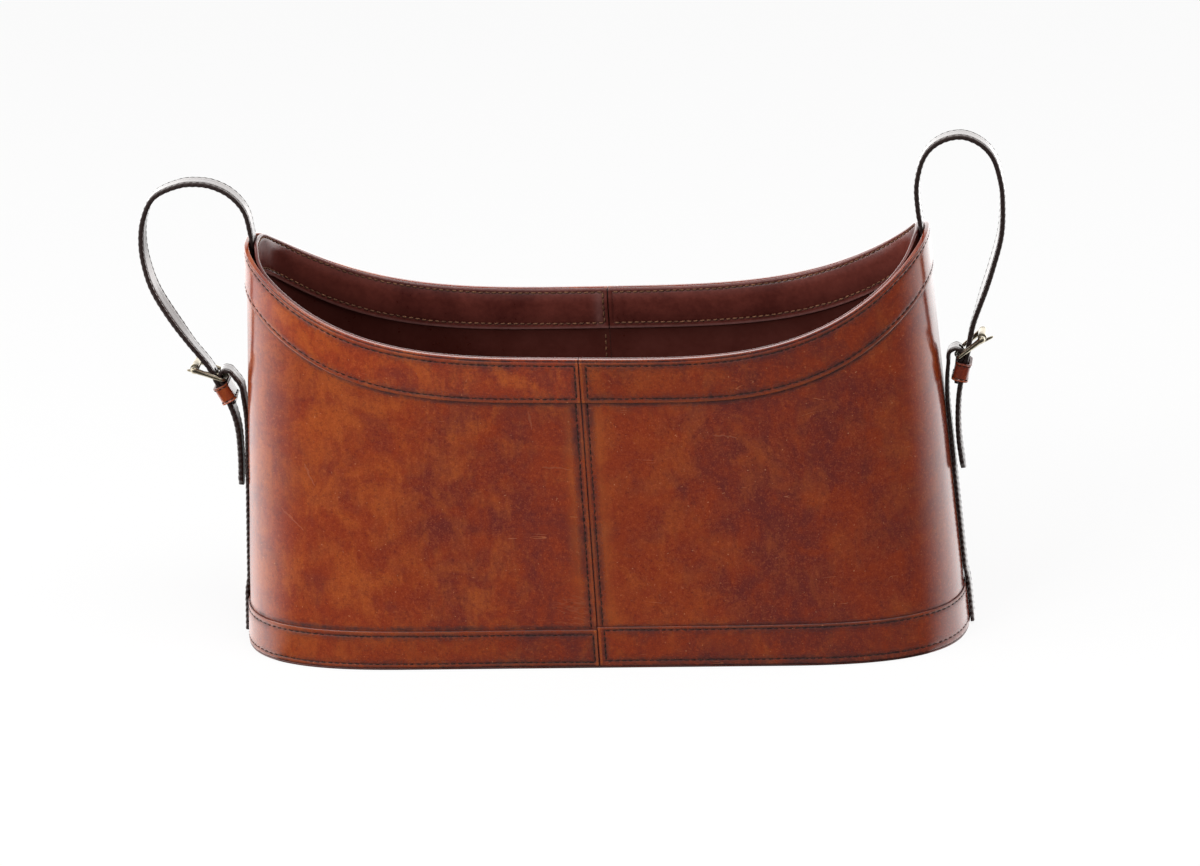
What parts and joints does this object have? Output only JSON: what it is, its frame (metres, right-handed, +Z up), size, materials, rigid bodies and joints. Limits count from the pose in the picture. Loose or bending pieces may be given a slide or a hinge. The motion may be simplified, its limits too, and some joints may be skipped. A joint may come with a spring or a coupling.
{
  "type": "magazine basket",
  "caption": "Tall oval stitched leather magazine basket with a curved rim and buckled loop handles at both ends.",
  "frame": {"origin": "middle of the flat underside", "axes": "+X along the length to the right end, -Y the front, +Z up"},
  "size_m": [0.5306, 0.136, 0.3197],
  "materials": {
    "outer_leather": "glossy waxed cognac",
    "lining_leather": "dark red-brown satin",
    "strap_leather": "glossy black-brown",
    "sole_leather": "dark satin",
    "stiffener": "raw leatherboard",
    "base_board": "raw fibreboard",
    "buckle_metal": "pale antique brass"
  },
  "bodies": {
    "basket": {"outer_panel_left": "outer_leather", "outer_panel_right": "outer_leather", "wall_core_left": "stiffener", "wall_core_right": "stiffener", "lining_left": "lining_leather", "lining_right": "lining_leather", "rim_band_left": "outer_leather", "rim_band_right": "outer_leather", "rim_facing_left": "lining_leather", "rim_facing_right": "lining_leather", "bottom_band_left": "outer_leather", "bottom_band_right": "outer_leather", "base_cover": "sole_leather", "base_board": "base_board", "base_lining": "lining_leather", "end_strip_left": "strap_leather", "end_strip_right": "strap_leather", "handle_anchor_left": "strap_leather", "handle_anchor_right": "strap_leather"},
    "handle_left": {"handle_strap_left": "strap_leather", "buckle_tab_left": "strap_leather", "keeper_left": "outer_leather"},
    "buckle_left": {"buckle_frame_left": "buckle_metal"},
    "prong_left": {"buckle_prong_left": "buckle_metal"},
    "roller_left": {"buckle_roller_left": "buckle_metal"},
    "handle_right": {"handle_strap_right": "strap_leather", "buckle_tab_right": "strap_leather", "keeper_right": "outer_leather"},
    "buckle_right": {"buckle_frame_right": "buckle_metal"},
    "prong_right": {"buckle_prong_right": "buckle_metal"},
    "roller_right": {"buckle_roller_right": "buckle_metal"}
  },
  "joints": [
    {"name": "handle_swing_left", "type": "hinge", "parent": "basket", "child": "handle_left", "pos_m": [-0.2047, 0, 0.2603], "axis": [0.1276, 0, 0.9918], "range_deg": [-10, 10], "stiffness_Nm_per_rad": 0.05},
    {"name": "buckle_swivel_left", "type": "hinge", "parent": "handle_left", "child": "buckle_left", "pos_m": [-0.22866, 0, 0.17004], "axis": [0, -1, 0], "range_deg": [-6, 6]},
    {"name": "prong_pivot_left", "type": "hinge", "parent": "buckle_left", "child": "prong_left", "pos_m": [-0.22866, 0, 0.17004], "axis": [0, -1, 0], "range_deg": [0, 12]},
    {"name": "roller_spin_left", "type": "hinge", "parent": "buckle_left", "child": "roller_left", "pos_m": [-0.2467, 0, 0.17744], "axis": [0, 1, 0], "continuous": true},
    {"name": "handle_swing_right", "type": "hinge", "parent": "basket", "child": "handle_right", "pos_m": [0.2047, 0, 0.2603], "axis": [-0.1295, 0, 0.9916], "range_deg": [-10, 10], "stiffness_Nm_per_rad": 0.05},
    {"name": "buckle_swivel_right", "type": "hinge", "parent": "handle_right", "child": "buckle_right", "pos_m": [0.22395, 0, 0.17709], "axis": [0, 1, 0], "range_deg": [-6, 6]},
    {"name": "prong_pivot_right", "type": "hinge", "parent": "buckle_right", "child": "prong_right", "pos_m": [0.22395, 0, 0.17709], "axis": [0, 1, 0], "range_deg": [0, 12]},
    {"name": "roller_spin_right", "type": "hinge", "parent": "buckle_right", "child": "roller_right", "pos_m": [0.23921, 0, 0.18923], "axis": [0, 1, 0], "continuous": true}
  ]
}
